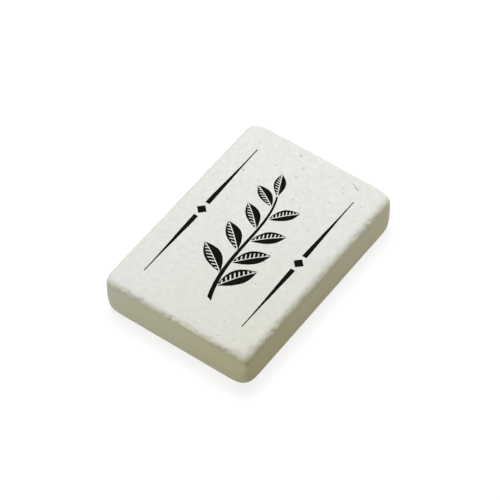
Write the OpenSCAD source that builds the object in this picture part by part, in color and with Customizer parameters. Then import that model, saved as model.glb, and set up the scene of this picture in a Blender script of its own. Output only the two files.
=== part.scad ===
// Block eraser: one piece of white vulcanised rubber, cut from a pressed sheet
// and tumbled until every edge and corner is round.
// +X runs along the length, +Y across the width and +Z up from the flat base.
// The origin is the middle of the base.

/* [Block] */
// Length between the two cut ends
block_length = 36; // [20:0.5:80]
// Width between the two long sides
block_width = 24.8; // [16:0.1:60]
// Thickness of the sheet that the block is cut from
block_thickness = 6.8; // [4:0.1:20]

/* [Tumbled edges] */
// Radius of the four upright corners, seen from above
corner_radius = 2; // [1:0.1:6]
// Radius of the edge round the top face
top_edge_radius = 1.1; // [0.3:0.05:1.9]
// Radius of the edge round the base
base_edge_radius = 1.05; // [0.3:0.05:1.9]

/* [Fineness] */
// Segments in a full circle
circle_segments = 96; // [48:8:160]

/* [Hidden] */
$fn = circle_segments;
rubber_white = [0.89, 0.89, 0.85];
// An edge never turns in further than the corner that it runs round
top_edge = min(top_edge_radius, corner_radius);
base_edge = min(base_edge_radius, corner_radius);
// Straight stretches between the rounded corners
side_run = block_length - 2 * corner_radius;
end_run = block_width - 2 * corner_radius;
// How far a cutting shape reaches past the face that it trims
cut_over = 1;

// What tumbling takes off a sharp edge, with its centre of rounding at the origin
module worn_off(radius) {
    difference() {
        square(radius + cut_over);
        circle(radius);
    }
}

// Upright section of one edge, from the corner centres out to the side face
module edge_section() {
    difference() {
        square([corner_radius, block_thickness]);
        translate([corner_radius - top_edge, block_thickness - top_edge])
            worn_off(top_edge);
        translate([corner_radius - base_edge, base_edge])
            mirror([0, 1])
                worn_off(base_edge);
    }
}

// Straight edge that faces +X, its length centred on the X axis
module straight_edge(run) {
    translate([0, run / 2, 0])
        rotate([90, 0, 0])
            linear_extrude(run)
                edge_section();
}

// Round corner that turns from +X to +Y about its own upright axis
module round_corner() {
    rotate_extrude(angle = 90)
        edge_section();
}

// The half of the rim that faces +X: one end and the corners beside it
module rounded_end() {
    translate([side_run / 2, 0, 0]) {
        straight_edge(end_run);
        for (turn = [0, 1])
            mirror([0, turn, 0])
                translate([0, end_run / 2, 0])
                    round_corner();
    }
}

// The whole eraser: the flat middle, two long sides and two rounded ends
module eraser_block() {
    color(rubber_white)
        union() {
            translate([-side_run / 2, -end_run / 2, 0])
                cube([side_run, end_run, block_thickness]);
            for (turn = [0, 180])
                rotate([0, 0, turn]) {
                    rounded_end();
                    rotate([0, 0, 90])
                        translate([end_run / 2, 0, 0])
                            straight_edge(side_run);
                }
        }
}

eraser_block();
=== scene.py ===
import math

import bpy
from mathutils import Matrix, Vector


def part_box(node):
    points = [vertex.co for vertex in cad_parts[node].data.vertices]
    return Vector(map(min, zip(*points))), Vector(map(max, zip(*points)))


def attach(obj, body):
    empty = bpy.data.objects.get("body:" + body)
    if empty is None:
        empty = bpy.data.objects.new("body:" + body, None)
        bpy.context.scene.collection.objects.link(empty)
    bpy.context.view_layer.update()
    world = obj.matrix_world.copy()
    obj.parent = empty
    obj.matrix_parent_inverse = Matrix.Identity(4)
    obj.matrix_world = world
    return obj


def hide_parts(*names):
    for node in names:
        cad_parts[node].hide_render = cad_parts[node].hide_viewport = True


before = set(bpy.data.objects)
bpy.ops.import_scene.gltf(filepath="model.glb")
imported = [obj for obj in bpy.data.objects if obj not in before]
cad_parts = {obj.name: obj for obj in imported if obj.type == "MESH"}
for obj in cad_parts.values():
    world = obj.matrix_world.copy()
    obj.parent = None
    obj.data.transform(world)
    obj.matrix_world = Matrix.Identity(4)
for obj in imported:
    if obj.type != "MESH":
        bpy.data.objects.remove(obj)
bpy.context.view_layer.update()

# Eraser block. One piece of white rubber filled with chalk, cut from a pressed sheet and
# tumbled in a drum. Tumbling rounds every edge and corner, and leaves nicks along the edges
# and a few pits in the matt, grainy skin.
MM = 0.001
block_low, block_high = (Vector(corner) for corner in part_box("eraser_block"))
block_size = block_high - block_low


class Amount:
    """A value that varies over a mesh or a surface: a node's output, for use in formulas."""

    def __init__(self, tree, socket):
        self.tree = tree
        self.socket = socket

    def calc(self, operation, *others):
        step = self.tree.nodes.new("ShaderNodeMath")
        step.operation = operation
        for entry, value in zip(step.inputs, (self, *others)):
            feed(self.tree, entry, value)
        return Amount(self.tree, step.outputs[0])

    def __add__(self, other):
        return self.calc("ADD", other)

    def __sub__(self, other):
        return self.calc("SUBTRACT", other)

    def __rsub__(self, other):
        return self * -1.0 + other

    def __mul__(self, other):
        return self.calc("MULTIPLY", other)

    def __truediv__(self, other):
        return self.calc("DIVIDE", other)

    def __pow__(self, other):
        return self.calc("POWER", other)

    def __abs__(self):
        return self.calc("ABSOLUTE")

    def __lt__(self, other):
        return self.calc("LESS_THAN", other)

    def __gt__(self, other):
        return self.calc("GREATER_THAN", other)

    def at_least(self, other):
        return self.calc("MAXIMUM", other)

    def at_most(self, other):
        return self.calc("MINIMUM", other)

    def over(self, start, end):
        """How far the value has come from start to end, eased at both and held beyond them."""
        step = self.tree.nodes.new("ShaderNodeMapRange")
        step.interpolation_type = "SMOOTHSTEP"
        for entry, value in zip(step.inputs, (self, start, end)):
            feed(self.tree, entry, value)
        return Amount(self.tree, step.outputs[0])


def feed(tree, entry, value):
    """Gives a node's input an amount, another node's output or a plain value."""
    if isinstance(value, Amount):
        value = value.socket
    if isinstance(value, bpy.types.NodeSocket):
        tree.links.new(value, entry)
    else:
        entry.default_value = value


def add_node(tree, kind, inputs=None, **options):
    """Adds a node, sets its options and feeds the inputs that are named."""
    step = tree.nodes.new(kind)
    for option, choice in options.items():
        setattr(step, option, choice)
    for label, value in (inputs or {}).items():
        feed(tree, step.inputs[label], value)
    return step


def result(tree, kind, inputs=None, output=0, **options):
    """Adds a node and gives one of its outputs."""
    return add_node(tree, kind, inputs, **options).outputs[output]


def between(first, second, share):
    """The value at a share of the way from the first to the second."""
    return share * (second - first) + first


def slant_of(one_side, other_side):
    """The length of the long side of a right angle."""
    return (one_side * one_side + other_side * other_side).calc("SQRT")


def split(tree, vector):
    """The three parts of a vector, as amounts."""
    parts = add_node(tree, "ShaderNodeSeparateXYZ", {"Vector": vector})
    return [Amount(tree, part) for part in parts.outputs]


def together(tree, x, y, z):
    """A vector made of three parts."""
    return result(tree, "ShaderNodeCombineXYZ", {"X": x, "Y": y, "Z": z})


def noise(tree, place, grain, detail=2.0, roughness=0.5, shift=0.0):
    """Smooth noise from 0 to 1, in lumps as big as the grain; shift picks another part of it."""
    moved = result(tree, "ShaderNodeVectorMath", {0: place, 1: (shift, shift, shift)},
                   operation="ADD")
    cloud = {"Vector": moved, "Scale": grain ** -1.0, "Detail": detail, "Roughness": roughness}
    return Amount(tree, result(tree, "ShaderNodeTexNoise", cloud))


def place_at(tree, mesh, position):
    """The mesh with its points moved to the given position."""
    return result(tree, "GeometryNodeSetPosition", {"Geometry": mesh, "Position": position})


def mark(tree, mesh, label, amount, domain="POINT"):
    """The mesh with an amount kept on it under a label."""
    return result(tree, "GeometryNodeStoreNamedAttribute",
                  {"Geometry": mesh, "Name": label, "Value": amount}, domain=domain)


def marked(tree, label):
    """The amount that a mesh keeps under a label."""
    return Amount(tree, result(tree, "GeometryNodeInputNamedAttribute", {"Name": label}))


def start_tree(name, settings):
    """A new geometry tree that takes a mesh and has a named input for each setting."""
    tree = bpy.data.node_groups.new(name, "GeometryNodeTree")
    tree.interface.new_socket("Mesh", in_out="INPUT", socket_type="NodeSocketGeometry")
    kinds = {bpy.types.Material: "Material", bpy.types.Object: "Object", int: "Int"}
    for label, value in settings.items():
        kind = "NodeSocket" + kinds.get(type(value), "Float")
        tree.interface.new_socket(label, in_out="INPUT", socket_type=kind)
    tree.interface.new_socket("Mesh", in_out="OUTPUT", socket_type="NodeSocketGeometry")
    given = tree.nodes.new("NodeGroupInput").outputs
    return tree, {label: Amount(tree, given[label]) for label in ("Mesh", *settings)}


def finish_tree(tree, mesh, material):
    """Ends a geometry tree with a plain mesh of one material."""
    mesh = result(tree, "GeometryNodeRealizeInstances", {"Geometry": mesh})
    mesh = result(tree, "GeometryNodeSetMaterial", {"Geometry": mesh, "Material": material})
    add_node(tree, "NodeGroupOutput", {"Mesh": mesh})
    return tree


def make_piece(name, tree, settings, places=()):
    """Runs a tree on a mesh of the given places alone, and keeps the result as a plain mesh."""
    start = bpy.data.meshes.new(name)
    start.from_pydata(places, [], [])
    piece = bpy.data.objects.new(name, start)
    bpy.context.collection.objects.link(piece)
    modifier = piece.modifiers.new(tree.name, "NODES")
    modifier.node_group = tree
    for entry in tree.interface.items_tree:
        if entry.in_out == "INPUT" and entry.name in settings:
            modifier[entry.identifier] = settings[entry.name]
    ready = piece.evaluated_get(bpy.context.evaluated_depsgraph_get())
    mesh = bpy.data.meshes.new_from_object(ready)
    piece.modifiers.clear()
    piece.data = mesh
    return piece


def block_tree(settings):
    """A finely divided box, drawn in to the tumbled form and then nicked and pitted."""
    tree, size = start_tree("Tumbled block", settings)
    length, width, thickness = size["Length"], size["Width"], size["Thickness"]
    half_length, half_width, half_thickness = length * 0.5, width * 0.5, thickness * 0.5
    box = result(tree, "GeometryNodeMeshCube", {
        "Size": together(tree, length, width, thickness),
        "Vertices X": length / size["Cell Size"],
        "Vertices Y": width / size["Cell Size"],
        "Vertices Z": thickness / size["Cell Size"],
    })
    place = result(tree, "GeometryNodeInputPosition")
    x, y, z = split(tree, place)

    # Least values, so that nothing is divided by zero
    least_share = 0.001
    least_length = least_share * MM

    # Seen from above: how far a point lies past the start of the corners, and which way
    corner = size["Corner Reach"]
    start_x = half_length - corner
    start_y = half_width - corner
    past_x = (abs(x) - start_x).at_least(0.0)
    past_y = (abs(y) - start_y).at_least(0.0)
    reach = past_x.at_least(past_y)
    slant = slant_of(past_x, past_y).at_least(least_length)
    way_x = past_x / slant
    way_y = past_y / slant

    # The top edge is tighter along the ends than along the sides, and most worn at the corners
    endward = way_x * way_x
    cornerward = (way_x * way_y * 2.0) ** 2.0
    is_top = z > 0.0
    front_corner = (x < 0.0) * (y < 0.0)
    wear = (size["Corner Wear"] + size["Front Corner Wear"] * front_corner) * cornerward
    top_edge = between(size["Side Edge Radius"], size["End Edge Radius"], endward) + wear
    edge = between(size["Base Edge Radius"], top_edge, is_top)

    # Seen from the side: points in the square of an edge are drawn in to its quarter circle
    height = abs(z)
    out = (reach - corner + edge).at_least(0.0)
    rise = (height - half_thickness + edge).at_least(0.0)
    out_share = out / edge
    rise_share = rise / edge
    spread = slant_of(out_share, rise_share).at_least(least_share)
    draw_in = out_share.at_least(rise_share) / spread
    reach = reach - out + out * draw_in
    height = height - rise + rise * draw_in

    # The upright corners turn on a superellipse, which is roundest at the base and squarest at
    # the top of the front corner
    top_squareness = between(size["Top Squareness"], size["Front Squareness"], front_corner)
    rim_squareness = between(size["Base Squareness"], top_squareness, is_top)
    rimward = (height / half_thickness) ** 2.0
    power = between(size["Middle Squareness"], rim_squareness, rimward)
    turn = (way_x ** power + way_y ** power).at_least(least_share)
    reach = reach * turn ** (power ** -1.0 * -1.0)
    new_x = (abs(x).at_most(start_x) + way_x * reach) * x.calc("SIGN")
    new_y = (abs(y).at_most(start_y) + way_y * reach) * y.calc("SIGN")
    new_z = height * z.calc("SIGN") + half_thickness

    # Where the edges take nicks: mostly on top, along the ends and between the corners
    nicked = out_share.at_most(rise_share).over(0.0, 0.5)
    nicked = nicked * between(size["Base Nicks"], 1.0, is_top)
    nicked = nicked * between(size["Side Nicks"], 1.0, endward)
    nicked = nicked * between(1.0, size["Corner Nicks"], cornerward)

    # Where the rubber is tinted ivory: on the cut sides, partly their own colour and partly
    # painted warm light bounced from the floor; well over the edges of the two in front, as
    # painted warm light on the faces that turn to the front; and most of all round the front
    # corner, as painted warm light that also tints the top
    front_side = between(y < 0.0, x < 0.0, endward)
    depth = (half_thickness - height) / edge
    below = depth.over(between(0.3, -0.2, front_side), between(1.0, 0.6, front_side))
    outside = out_share.over(between(0.55, 0.0, front_side), between(1.0, 0.8, front_side))
    # Painted warm light, which grows towards the front corner and tints the top there as well as
    # the sides
    painted_front_warmth = slant_of(x + half_length, y + half_width)
    painted_front_warmth = painted_front_warmth.over(size["Painted Warmth Reach"], size["Painted Warmth Core"])
    side_tint = between(size["Side Tint"], size["Painted Warmth Side Tint"], painted_front_warmth)
    ivory = (below * outside * side_tint).at_least(painted_front_warmth * is_top * size["Painted Warmth Top Tint"])
    mesh = mark(tree, box, "nicked_edge", nicked)
    mesh = mark(tree, mesh, "ivory", ivory)
    mesh = place_at(tree, mesh, together(tree, new_x, new_y, new_z))

    # Nicks along the edges, pits at the given places, and a slight waviness all over
    chips = noise(tree, place, size["Nick Size"], detail=3.0).over(0.4, 0.75)
    mesh = mark(tree, mesh, "nick", chips * marked(tree, "nicked_edge"))
    usual = marked(tree, "nicked_edge") * size["Usual Nick"]
    nicks = (marked(tree, "nick") - usual) * size["Nick Depth"]
    waves = (noise(tree, place, size["Wave Size"], shift=0.3) - 0.5) * size["Waviness"]
    gap = Amount(tree, result(tree, "GeometryNodeProximity", {0: size["Mesh"]}, "Distance",
                              target_element="POINTS"))
    ragged = between(0.6, 1.4, noise(tree, place, size["Pit Outline Size"], shift=0.7))
    mesh = mark(tree, mesh, "pit", gap.over(size["Pit Radius"] * ragged, 0.0))
    dent = waves - nicks - marked(tree, "pit") * size["Pit Depth"]
    normal = result(tree, "GeometryNodeInputNormal")
    push = result(tree, "ShaderNodeVectorMath", {0: normal, "Scale": dent}, operation="SCALE")
    mesh = result(tree, "GeometryNodeSetPosition", {"Geometry": mesh, "Offset": push})
    mesh = result(tree, "GeometryNodeSetShadeSmooth", {"Geometry": mesh})
    return finish_tree(tree, mesh, size["Rubber"])


def grain_group():
    """Shader group for the skin of the rubber: a fine relief, mottling and rare specks."""
    tree = bpy.data.node_groups.new("Rubber grain", "ShaderNodeTree")
    for label in ("Grain Size", "Mottle Size"):
        tree.interface.new_socket(label, in_out="INPUT", socket_type="NodeSocketFloat")
    for label in ("Height", "Mottle", "Specks"):
        tree.interface.new_socket(label, in_out="OUTPUT", socket_type="NodeSocketFloat")
    given = tree.nodes.new("NodeGroupInput").outputs
    grain_size = Amount(tree, given["Grain Size"])
    mottle_size = Amount(tree, given["Mottle Size"])
    place = result(tree, "ShaderNodeTexCoord", output="Object")
    fine = noise(tree, place, grain_size, detail=4.0, roughness=0.6)
    mottle = noise(tree, place, mottle_size, detail=3.0)

    # About one cell in ten, each four grains wide, holds a speck, which is a small hollow
    cell_size = grain_size * 4.0
    cells = add_node(tree, "ShaderNodeTexVoronoi", {"Vector": place, "Scale": cell_size ** -1.0})
    chance = split(tree, cells.outputs["Color"])[0]
    specks = Amount(tree, cells.outputs["Distance"]).over(0.36, 0.1) * chance.over(0.9, 1.0)
    speck_depth = 0.5
    add_node(tree, "NodeGroupOutput", {
        "Height": fine - specks * speck_depth,
        "Mottle": mottle,
        "Specks": specks,
    })
    return tree


def grain_of(tree, group, grain_size, mottle_size):
    """The relief, mottling and specks of the rubber's skin at the given sizes, as amounts."""
    sizes = {"Grain Size": grain_size, "Mottle Size": mottle_size}
    skin = add_node(tree, "ShaderNodeGroup", sizes, node_tree=group)
    return [Amount(tree, part) for part in skin.outputs]


def mix_colours(tree, amount, first, second):
    """A blend of two colours."""
    blend = add_node(tree, "ShaderNodeMix", data_type="RGBA")
    share_entry, first_entry, second_entry = (blend.inputs[number] for number in (0, 6, 7))
    feed(tree, share_entry, amount)
    feed(tree, first_entry, first)
    feed(tree, second_entry, second)
    return blend.outputs[2]


def linear(red, green, blue):
    """A colour as seen on a screen, from 0 to 255, as the shader wants it."""
    parts = (level / 255 for level in (red, green, blue))
    straight = (part / 12.92 if part <= 0.04045 else ((part + 0.055) / 1.055) ** 2.4
                for part in parts)
    return (*straight, 1.0)


def start_material(name, constants):
    """A new material, its tree and its shader, with what is the same all over it set there."""
    material = bpy.data.materials.new(name)
    material.use_nodes = True
    shader = material.node_tree.nodes["Principled BSDF"]
    for label, value in constants.items():
        shader.inputs[label].default_value = value
    return material, material.node_tree, shader


rubber_grain = grain_group()


def white_rubber():
    """Chalky white on the pressed faces, ivory on the cut sides with painted warm light in it,
    more on the two front sides and round the front corner, and grey in the pits.
    """
    chalk, pale_chalk = linear(226, 227, 221), linear(233, 234, 229)
    painted_warmth_ivory, speck_grey = linear(227, 223, 196), linear(170, 170, 160)
    nick_ivory, pit_grey = linear(205, 201, 180), linear(150, 150, 138)
    material, tree, skin = start_material("white_rubber", {"Specular IOR Level": 0.25})
    height, mottle, specks = grain_of(tree, rubber_grain, 0.16 * MM, 0.7 * MM)
    # The ivory amount is partly the cut sides' own colour and partly painted warm light
    ivory, nick, pit = (
        Amount(tree, result(tree, "ShaderNodeAttribute", output="Fac", attribute_name=label))
        for label in ("ivory", "nick", "pit"))
    place = result(tree, "ShaderNodeTexCoord", output="Object")
    patches = between(0.5, 1.1, noise(tree, place, 4 * MM))
    untinted = between(1.0, 0.0, ivory)
    colour = mix_colours(tree, mottle.over(0.3, 0.7), chalk, pale_chalk)
    # The ivory mix is the cut sides' own ivory with painted warm light in it, strongest on the
    # front sides and round the front corner
    for amount, tint in ((ivory * patches, painted_warmth_ivory), (specks * untinted * 0.6, speck_grey),
                         (nick * 0.3, nick_ivory), (pit * 0.7, pit_grey)):
        colour = mix_colours(tree, amount, colour, tint)
    feed(tree, skin.inputs["Base Color"], colour)
    feed(tree, skin.inputs["Roughness"], between(0.75, 0.95, height))
    relief = {"Height": height, "Strength": 0.5, "Distance": 0.02 * MM}
    feed(tree, skin.inputs["Normal"], result(tree, "ShaderNodeBump", relief))
    return material


block_shape = {
    "Length": block_size.x,
    "Width": block_size.y,
    "Thickness": block_size.z,
    "Cell Size": 0.17 * MM,
    "Corner Reach": 3.5 * MM,
    "Middle Squareness": 5.2,
    "Top Squareness": 4.5,
    "Front Squareness": 22.0,
    "Base Squareness": 2.6,
    "Side Edge Radius": 1.15 * MM,
    "End Edge Radius": 0.95 * MM,
    "Base Edge Radius": 1.0 * MM,
    "Corner Wear": 0.2 * MM,
    "Front Corner Wear": 0.3 * MM,
    "Base Nicks": 0.1,
    "Side Nicks": 0.6,
    "Corner Nicks": 0.3,
    # Painted warm light round the front corner, and the ivory of the cut sides with painted warm
    # bounce light in it
    "Painted Warmth Reach": 26.0 * MM,
    "Painted Warmth Core": 2.6 * MM,
    "Painted Warmth Top Tint": 0.35,
    "Painted Warmth Side Tint": 1.2,
    "Side Tint": 0.7,
    "Nick Size": 0.7 * MM,
    "Nick Depth": 0.17 * MM,
    "Usual Nick": 0.35,
    "Wave Size": 6.0 * MM,
    "Waviness": 0.03 * MM,
    "Pit Radius": 0.3 * MM,
    "Pit Depth": 0.12 * MM,
    "Pit Outline Size": 0.4 * MM,
    "Rubber": white_rubber(),
}
pits_seen = [(16.2, 2.6, 0.0), (14.5, 1.0, 0.0), (12.5, 0.9, 0.0), (9.3, 7.9, 0.0),
             (-2.8, -11.9, 0.1), (-13.1, -12.3, 0.5), (-17.6, 7.9, 0.25)]
pit_places = [(x * MM, y * MM, block_high.z - below * MM) for x, y, below in pits_seen]
block = make_piece("tumbled_block", block_tree(block_shape), block_shape, pit_places)
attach(block, "root")
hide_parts("eraser_block")

# Print. A leafy sprig between two swelled rules, stamped on the top face in black ink. The ink
# is a thin film that lies on the skin of the rubber and breaks up slightly on its grain.


def sheet(tree, columns, rows):
    """A flat grid of 1 by 1 about the origin, to be drawn out to a shape."""
    return result(tree, "GeometryNodeMeshGrid", {
        "Size X": 1.0,
        "Size Y": 1.0,
        "Vertices X": columns + 1,
        "Vertices Y": rows + 1,
    })


def without(tree, mesh, chosen):
    """The mesh without the chosen faces."""
    return result(tree, "GeometryNodeDeleteGeometry", {"Geometry": mesh, "Selection": chosen},
                  domain="FACE")


def joined(tree, *shapes):
    """Several shapes in one mesh."""
    whole = add_node(tree, "GeometryNodeJoinGeometry")
    for shape in shapes:
        tree.links.new(shape, whole.inputs[0])
    return whole.outputs[0]


def copies(tree, shape, count):
    """Copies of a shape in one mesh, all in one place, with their number kept as copy_no."""
    spots = result(tree, "GeometryNodePoints", {"Count": count})
    rows = result(tree, "GeometryNodeInstanceOnPoints", {"Points": spots, "Instance": shape})
    number = result(tree, "GeometryNodeInputIndex")
    rows = mark(tree, rows, "copy_no", number, "INSTANCE")
    return result(tree, "GeometryNodeRealizeInstances", {"Geometry": rows})


def bent_line(tree, points, steps):
    """A curve from a start to an end, bent by the two handles between them."""
    labels = ("Start", "Start Handle", "End Handle", "End")
    return result(tree, "GeometryNodeCurvePrimitiveBezierSegment",
                  {"Resolution": steps, **dict(zip(labels, points))})


def along(tree, curve, share):
    """Place and direction at a share of the length of a curve on the top face."""
    spot = add_node(tree, "GeometryNodeSampleCurve", {"Curves": curve, "Factor": share},
                    mode="FACTOR")
    return split(tree, spot.outputs["Position"])[:2], split(tree, spot.outputs["Tangent"])[:2]


def ribbon(tree, size, curve, width, across, up):
    """A stroke of ink along a curve, cut slanting at its foot and tapered to its tip."""
    steps, strips = 90, 2
    share = across + 0.5
    slant = (up + 0.5) * between(size["Foot Slant"], 0.0, share)
    (line_x, line_y), (way_x, way_y) = along(tree, curve, share + slant)
    aside = up * (width * between(1.0, size["Tip Width"], share))
    edge = together(tree, line_x - way_y * aside, line_y + way_x * aside, 0.0)
    return place_at(tree, sheet(tree, steps, strips), edge)


def leaf_shapes(tree, size, curve, across, up):
    """Leaves left and right of the stem by turns and one at its tip, in halves with veins."""
    columns, rows, columns_a_vein = 27, 7, 3
    strip = 1.0 / rows
    column = ((across + 0.5) * columns).calc("FLOOR")
    midrib = abs(up) < 0.5 * strip
    vein = column.calc("MODULO", columns_a_vein) < 0.5
    vein = vein * (up > 0.0) * (up < 2.5 * strip)
    leaf = without(tree, sheet(tree, columns, rows), midrib.at_least(vein))
    leaves = copies(tree, leaf, size["Leaves"])

    # Where each leaf springs from the stem, and which way it points
    leaf_no = marked(tree, "copy_no")
    last_no = size["Leaves"] - 1.0
    at_tip = leaf_no > last_no - 0.5
    side = between(-1.0, 1.0, leaf_no.calc("MODULO", 2.0)) * between(1.0, 0.0, at_tip)
    share = between(size["First Leaf"], 1.0, leaf_no / last_no)
    (root_x, root_y), (way_x, way_y) = along(tree, curve, share)
    angle = way_y.calc("ARCTAN2", way_x) + side * size["Leaf Angle"]
    length = size["Leaf Length"] * between(1.0, size["Last Leaf Length"], share)
    gap = size["Leaf Gap"] * between(1.0, size["Last Leaf Gap"], at_tip)

    # The outline: round at the root, pointed at the tip, with a slight backward curve
    run = across + 0.5
    bulge = (run ** size["Leaf Fullness"] * math.pi).calc("SINE").at_least(size["Leaf Point"])
    outward = (abs(up) * 2.0 - strip) / (1.0 - strip)
    half = length * size["Leaf Breadth"] * 0.5 * bulge
    leaf_x = run * length + outward * half * size["Leaf Sweep"] + gap
    leaf_y = (size["Midrib Width"] * 0.5 + outward * half) * up.calc("SIGN")
    leaf_y = leaf_y + side * length * size["Leaf Bend"] * run * run
    cosine, sine = angle.calc("COSINE"), angle.calc("SINE")
    return place_at(tree, leaves, together(tree, root_x + cosine * leaf_x - sine * leaf_y,
                                           root_y + sine * leaf_x + cosine * leaf_y, 0.0))


def rule_shapes(tree, size, across, up):
    """A swelled rule on either side of the sprig, open in the middle for a lozenge."""
    steps, strips = 120, 2
    opening = abs(across) < size["Lozenge"] * size["Lozenge Room"] / size["Rule Length"]
    bars = without(tree, sheet(tree, steps, strips), opening)
    swell = between(size["Rule Tip"], 1.0, (across * math.pi).calc("COSINE") ** 2.0)
    bars = place_at(tree, bars, together(tree, across * size["Rule Length"],
                                         up * size["Rule Width"] * swell, 0.0))
    lozenge = result(tree, "GeometryNodeMeshCircle", {"Vertices": 4, "Radius": size["Lozenge"]},
                     fill_type="NGON")
    rules = copies(tree, joined(tree, lozenge, bars), 2)
    shift = between(-1.0, 1.0, marked(tree, "copy_no")) * size["Rule Place"]
    return place_at(tree, rules, together(tree, across, up + shift, 0.0))


def print_tree(settings):
    """The flat shapes of the print, laid on the top face and given the thickness of the ink."""
    tree, size = start_tree("Stamped print", settings)
    place = result(tree, "GeometryNodeInputPosition")
    across, up, _ = split(tree, place)

    # The line of the stem, in shares of its length and wave, and that of a stray hair of ink
    stem_bends = ((-0.5, -1.0), (-0.2, 0.6), (0.1, -0.8), (0.32, 0.5))
    stem_points = [together(tree, size["Sprig Length"] * x, size["Sprig Wave"] * y, 0.0)
                   for x, y in stem_bends]
    stem = bent_line(tree, stem_points, 64)
    hair_bends = ((15.6, -7.8), (15.8, -7.3), (16.2, -6.8), (16.2, -6.2))
    hair = bent_line(tree, [(x * MM, y * MM, 0.0) for x, y in hair_bends], 16)
    flat = joined(
        tree,
        ribbon(tree, size, stem, size["Stem Width"], across, up),
        leaf_shapes(tree, size, stem, across, up),
        rule_shapes(tree, size, across, up),
        ribbon(tree, size, hair, size["Hair Width"], across, up),
    )

    # The outline wanders a little, as stamped ink does on a rough skin
    wander_x = (noise(tree, place, size["Wander Size"]) - 0.5) * size["Wander"]
    wander_y = (noise(tree, place, size["Wander Size"], shift=0.4) - 0.5) * size["Wander"]
    ink = place_at(tree, flat, together(tree, across + wander_x, up + wander_y, 0.0))

    # Down on to the rubber, just under its skin, and up again by the thickness of the film
    skin = result(tree, "GeometryNodeRaycast", {
        "Target Geometry": result(tree, "GeometryNodeObjectInfo", {"Object": size["Block"]},
                                  "Geometry"),
        "Source Position": together(tree, across, up, size["Drop"]),
        "Ray Direction": (0.0, 0.0, -1.0),
        "Ray Length": size["Drop"],
    }, "Hit Position")
    _, _, skin_height = split(tree, skin)
    ink = place_at(tree, ink, together(tree, across, up, skin_height - size["Ink Depth"]))
    raised = result(tree, "GeometryNodeExtrudeMesh", {
        "Mesh": ink,
        "Offset": (0.0, 0.0, 1.0),
        "Offset Scale": size["Ink Depth"] + size["Ink Rise"],
        "Individual": False,
    })
    under = result(tree, "GeometryNodeFlipFaces", {"Mesh": ink})
    film = result(tree, "GeometryNodeMergeByDistance",
                  {"Geometry": joined(tree, under, raised), "Distance": size["Weld"]})
    return finish_tree(tree, film, size["Ink"])


def black_ink():
    """Matt black, a little thin where the grain of the rubber stands up through it."""
    soot, thin_soot = linear(8, 8, 6), linear(120, 120, 112)
    material, tree, film = start_material("black_ink", {"Specular IOR Level": 0.03})
    height, mottle, _ = grain_of(tree, rubber_grain, 0.12 * MM, 0.5 * MM)
    thin = height.over(0.62, 0.75) * 0.3
    feed(tree, film.inputs["Base Color"], mix_colours(tree, thin, soot, thin_soot))
    feed(tree, film.inputs["Roughness"], between(0.55, 0.75, mottle))
    return material


print_shape = {
    "Sprig Length": 25 * MM,
    "Sprig Wave": 2.0 * MM,
    "Stem Width": 0.7 * MM,
    "Tip Width": 0.4,
    "Foot Slant": 0.03,
    "Leaves": 9,
    "First Leaf": 0.12,
    "Leaf Length": 6.2 * MM,
    "Last Leaf Length": 0.65,
    "Leaf Breadth": 0.4,
    "Leaf Fullness": 0.85,
    "Leaf Point": 0.04,
    "Leaf Sweep": 0.5,
    "Leaf Bend": 0.1,
    "Leaf Angle": math.radians(42),
    "Leaf Gap": 0.5 * MM,
    "Last Leaf Gap": 0.3,
    "Midrib Width": 0.14 * MM,
    "Rule Length": 27 * MM,
    "Rule Width": 0.75 * MM,
    "Rule Tip": 0.2,
    "Rule Place": 8.4 * MM,
    "Lozenge": 0.85 * MM,
    "Lozenge Room": 1.6,
    "Hair Width": 0.07 * MM,
    "Wander": 0.06 * MM,
    "Wander Size": 0.25 * MM,
    "Drop": 2 * block_size.z,
    "Ink Depth": 0.03 * MM,
    "Ink Rise": 0.012 * MM,
    "Weld": 0.0005 * MM,
    "Block": block,
    "Ink": black_ink(),
}
top_print = make_piece("top_print", print_tree(print_shape), print_shape)
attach(top_print, "root")

# Floor. A plain pale sheet of paper under the eraser. It shows a soft shadow, carries on as
# white to the edge of the picture, and throws a warm light back on the sides.
floor_reach = 3.0
floor_mesh = bpy.data.meshes.new("floor")
floor_corners = [(x * floor_reach, y * floor_reach, 0.0)
                 for x, y in ((-1, -1), (1, -1), (1, 1), (-1, 1))]
floor_mesh.from_pydata(floor_corners, [], [(0, 1, 2, 3)])
floor = bpy.data.objects.new("floor", floor_mesh)
bpy.context.collection.objects.link(floor)


def seen_straight(tree):
    """1 for what is looked at, also in a reflection, and 0 for the light that it throws."""
    path = tree.nodes.new("ShaderNodeLightPath").outputs
    seen = Amount(tree, path["Is Camera Ray"])
    return seen.at_least(path["Is Glossy Ray"]).at_least(path["Is Transmission Ray"])


def pale_floor():
    """Cream with a faint glow for the light it throws back, and white where it is looked at."""
    cream, grey = (0.4, 0.38, 0.3, 1.0), (0.3, 0.3, 0.3, 1.0)
    cream_glow, white_glow = (0.29, 0.275, 0.215, 1.0), (0.8, 0.8, 0.8, 1.0)
    material, tree, paper = start_material("pale_floor", {
        "Roughness": 1.0,
        "Specular IOR Level": 0.0,
        "Emission Strength": 1.0,
    })
    seen = seen_straight(tree)
    feed(tree, paper.inputs["Base Color"], mix_colours(tree, seen, cream, grey))
    feed(tree, paper.inputs["Emission Color"], mix_colours(tree, seen, cream_glow, white_glow))
    return material


floor_mesh.materials.append(pale_floor())

# Light. A broad lamp hangs above and a little behind, and a weak one stands low on either
# side. The sky gives almost no light, and is white where it is looked at.
block_middle = (block_low + block_high) / 2


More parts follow.
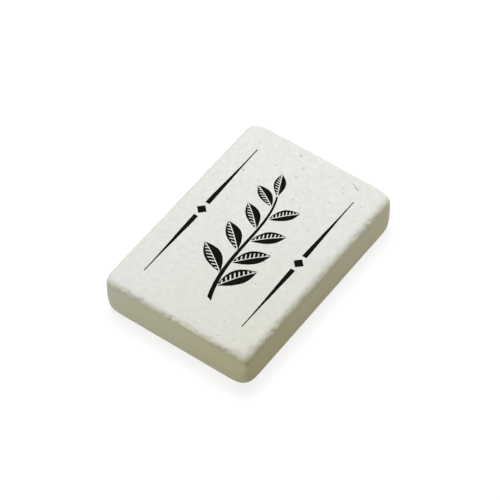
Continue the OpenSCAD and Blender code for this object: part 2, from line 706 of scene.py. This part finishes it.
def add_lamp(name, place, size, power, colour):
    """A square lamp that faces the eraser."""
    lamp = bpy.data.lights.new(name, "AREA")
    lamp.size = size
    lamp.energy = power
    lamp.color = colour
    holder = bpy.data.objects.new(name, lamp)
    facing = (block_middle - Vector(place)).to_track_quat("-Z", "Y").to_matrix().to_4x4()
    holder.matrix_world = Matrix.Translation(place) @ facing
    holder.visible_camera = False
    bpy.context.collection.objects.link(holder)


add_lamp("key_lamp", (0.05, 0.05, 0.22), size=0.15, power=0.535, colour=(1.0, 1.0, 1.0))
add_lamp("left_lamp", (-0.10, 0.03, 0.03), size=0.06, power=0.0185, colour=(0.94, 1.0, 1.0))
add_lamp("right_lamp", (0.08, -0.045, 0.03), size=0.05, power=0.0152, colour=(1.0, 0.97, 0.87))
sky = bpy.data.worlds.new("sky")
sky.use_nodes = True
bpy.context.scene.world = sky
sky_tree = sky.node_tree
sky_light = sky_tree.nodes["Background"].inputs
sky_white = (1.0, 1.0, 1.0, 1.0)
sky_strength = 0.01
feed(sky_tree, sky_light["Color"], sky_white)
feed(sky_tree, sky_light["Strength"], between(sky_strength, 1.0, seen_straight(sky_tree)))

# Camera. It looks down on the front corner from about forty centimetres, through a long lens.
# Its place and turn were fitted to the outline of the eraser in the photograph.
view_azimuth = math.radians(-53.52)
view_elevation = math.radians(51.82)
view_roll = math.radians(-0.76)
view_distance = 0.3923
focal_pixels = 2773
picture_pixels = 500
aim_rise = 0.135 * MM
camera = bpy.data.cameras.new("camera")
camera.sensor_width = 36.0
camera.lens = focal_pixels / picture_pixels * camera.sensor_width
camera.clip_start = 0.01
back = Vector((math.sin(view_azimuth) * math.cos(view_elevation),
               -math.cos(view_azimuth) * math.cos(view_elevation),
               math.sin(view_elevation)))
right = Vector((math.cos(view_azimuth), math.sin(view_azimuth), 0.0))
up = back.cross(right)
turned_right = right * math.cos(view_roll) + up * math.sin(view_roll)
turned_up = up * math.cos(view_roll) - right * math.sin(view_roll)
camera_turn = Matrix((turned_right, turned_up, back)).transposed().to_4x4()
camera_place = block_middle + turned_up * aim_rise + back * view_distance
stand = bpy.data.objects.new("camera", camera)
stand.matrix_world = Matrix.Translation(camera_place) @ camera_turn
bpy.context.collection.objects.link(stand)
bpy.context.scene.camera = stand
bpy.context.scene.view_settings.view_transform = "Standard"
